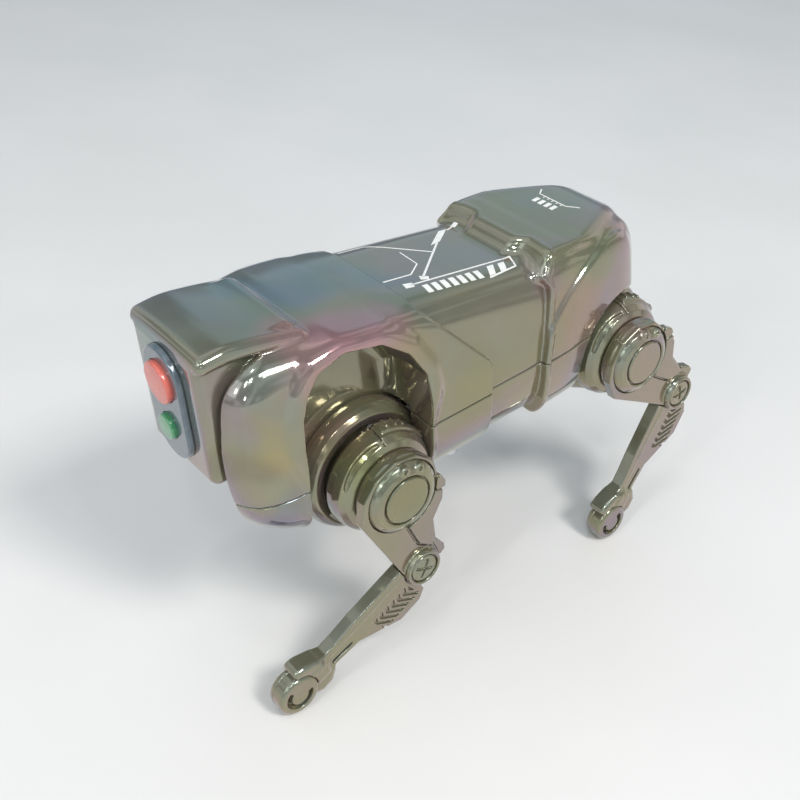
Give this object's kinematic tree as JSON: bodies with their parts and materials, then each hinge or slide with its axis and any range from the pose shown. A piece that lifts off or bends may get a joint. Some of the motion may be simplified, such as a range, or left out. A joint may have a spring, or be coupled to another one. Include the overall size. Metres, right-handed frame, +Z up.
{
  "type": "clockwork walking robot dog",
  "caption": "Wind-up quadruped robot dog toy: plated shell body with a boxy head, swinging ribbed legs and an enclosed spring clockwork with a side winding knob.",
  "frame": {"origin": "on the table under the middle of the standing dog", "axes": "+X towards the nose, +Y to the dog's left, +Z up"},
  "size_m": [0.0982, 0.0386, 0.0629],
  "materials": {
    "plated_shell": "vacuum-plated olive grey gloss with an iridescent sheen",
    "plated_trim": "vacuum-plated olive grey gloss, slightly darker",
    "face_grey": "blue-grey gloss",
    "lens_red": "salmon red gloss",
    "lens_green": "green gloss",
    "nylon_white": "natural nylon, satin",
    "steel": "drawn steel",
    "brass": "stamped brass"
  },
  "bodies": {
    "torso": {"upper_shell": "plated_shell", "lower_shell": "plated_shell", "face_plate": "face_grey", "red_lens": "lens_red", "green_lens": "lens_green", "hip_rings": "plated_trim", "hip_drum_fl": "plated_trim", "hip_drum_fr": "plated_trim", "hip_drum_rl": "plated_trim", "hip_drum_rr": "plated_trim", "shell_screws": "steel", "frame_plate_left": "nylon_white", "frame_plate_right": "nylon_white", "frame_pillars": "steel", "mainspring": "steel"},
    "winder": {"winding_knob": "plated_trim", "winding_arbor": "steel", "ratchet_wheel": "brass"},
    "great_gear": {"great_wheel": "nylon_white"},
    "click": {"click_pawl": "brass"},
    "crank": {"crank_shaft": "steel", "train_wheel": "nylon_white", "crank_disc_left": "nylon_white", "crank_disc_right": "nylon_white"},
    "escape": {"escape_wheel": "nylon_white"},
    "anchor": {"escape_anchor": "steel"},
    "leg_front_left": {"axle_fl": "steel", "thigh_fl": "plated_shell", "hip_cap_fl": "plated_trim", "calf_fl": "plated_shell", "knee_screw_fl": "plated_trim", "foot_fl": "plated_trim"},
    "rod_front_left": {"link_fl": "nylon_white"},
    "leg_front_right": {"axle_fr": "steel", "thigh_fr": "plated_shell", "hip_cap_fr": "plated_trim", "calf_fr": "plated_shell", "knee_screw_fr": "plated_trim", "foot_fr": "plated_trim"},
    "rod_front_right": {"link_fr": "nylon_white"},
    "leg_rear_left": {"axle_rl": "steel", "thigh_rl": "plated_shell", "hip_cap_rl": "plated_trim", "calf_rl": "plated_shell", "knee_screw_rl": "plated_trim", "foot_rl": "plated_trim"},
    "rod_rear_left": {"link_rl": "nylon_white"},
    "leg_rear_right": {"axle_rr": "steel", "thigh_rr": "plated_shell", "hip_cap_rr": "plated_trim", "calf_rr": "plated_shell", "knee_screw_rr": "plated_trim", "foot_rr": "plated_trim"},
    "rod_rear_right": {"link_rr": "nylon_white"}
  },
  "joints": [
    {"name": "winding_turn", "type": "hinge", "parent": "torso", "child": "winder", "pos_m": [-0.0139, 0, 0.04527], "axis": [0, 1, 0], "continuous": true},
    {"name": "great_turn", "type": "hinge", "parent": "torso", "child": "great_gear", "pos_m": [-0.0139, 0.00225, 0.04527], "axis": [0, 1, 0], "continuous": true},
    {"name": "click_swing", "type": "hinge", "parent": "great_gear", "child": "click", "pos_m": [-0.0084, 0.00115, 0.04767], "axis": [0, 1, 0], "range_deg": [-12, 0], "stiffness_Nm_per_rad": 0.0001, "springref_deg": 5.73},
    {"name": "crank_turn", "type": "hinge", "parent": "torso", "child": "crank", "pos_m": [-0.00578, 0, 0.04094], "axis": [0, 1, 0], "continuous": true},
    {"name": "escape_turn", "type": "hinge", "parent": "torso", "child": "escape", "pos_m": [0.00018, 0, 0.04566], "axis": [0, 1, 0], "continuous": true},
    {"name": "anchor_rock", "type": "hinge", "parent": "torso", "child": "anchor", "pos_m": [0.00068, 0, 0.05018], "axis": [0, 1, 0], "range_deg": [-5, 5]},
    {"name": "swing_front_left", "type": "hinge", "parent": "torso", "child": "leg_front_left", "pos_m": [0.01951, 0.012, 0.0331], "axis": [0, 1, 0], "range_deg": [0, 66.4]},
    {"name": "rod_pivot_front_left", "type": "hinge", "parent": "leg_front_left", "child": "rod_front_left", "pos_m": [0.0168, 0.0078, 0.03845], "axis": [0, 1, 0], "range_deg": [-66.4, 0]},
    {"name": "swing_front_right", "type": "hinge", "parent": "torso", "child": "leg_front_right", "pos_m": [0.01951, -0.012, 0.0331], "axis": [0, 1, 0], "range_deg": [-66.4, 0]},
    {"name": "rod_pivot_front_right", "type": "hinge", "parent": "leg_front_right", "child": "rod_front_right", "pos_m": [0.02333, -0.0078, 0.03772], "axis": [0, 1, 0], "range_deg": [0, 66.4]},
    {"name": "swing_rear_left", "type": "hinge", "parent": "torso", "child": "leg_rear_left", "pos_m": [-0.03218, 0.012, 0.03885], "axis": [0, 1, 0], "range_deg": [-32.5, 33.9]},
    {"name": "rod_pivot_rear_left", "type": "hinge", "parent": "leg_rear_left", "child": "rod_rear_left", "pos_m": [-0.03159, 0.0078, 0.04482], "axis": [0, 1, 0], "range_deg": [-33.9, 32.5]},
    {"name": "swing_rear_right", "type": "hinge", "parent": "torso", "child": "leg_rear_right", "pos_m": [-0.03218, -0.012, 0.03885], "axis": [0, 1, 0], "range_deg": [0, 66.4]},
    {"name": "rod_pivot_rear_right", "type": "hinge", "parent": "leg_rear_right", "child": "rod_rear_right", "pos_m": [-0.03488, -0.0078, 0.0442], "axis": [0, 1, 0], "range_deg": [-66.4, 0]}
  ],
  "couplings": [
    {"joint": "crank_turn", "follows": "great_turn", "ratio": -3.6},
    {"joint": "escape_turn", "follows": "great_turn", "ratio": 13.5},
    {"joint": "swing_front_right", "follows": "swing_front_left", "ratio": -1},
    {"joint": "rod_pivot_front_left", "follows": "swing_front_left", "ratio": -1},
    {"joint": "rod_pivot_front_right", "follows": "swing_front_left", "ratio": 1},
    {"joint": "swing_rear_right", "follows": "swing_front_left", "ratio": 1},
    {"joint": "rod_pivot_rear_left", "follows": "swing_rear_left", "ratio": -1},
    {"joint": "rod_pivot_rear_right", "follows": "swing_front_left", "ratio": -1}
  ]
}
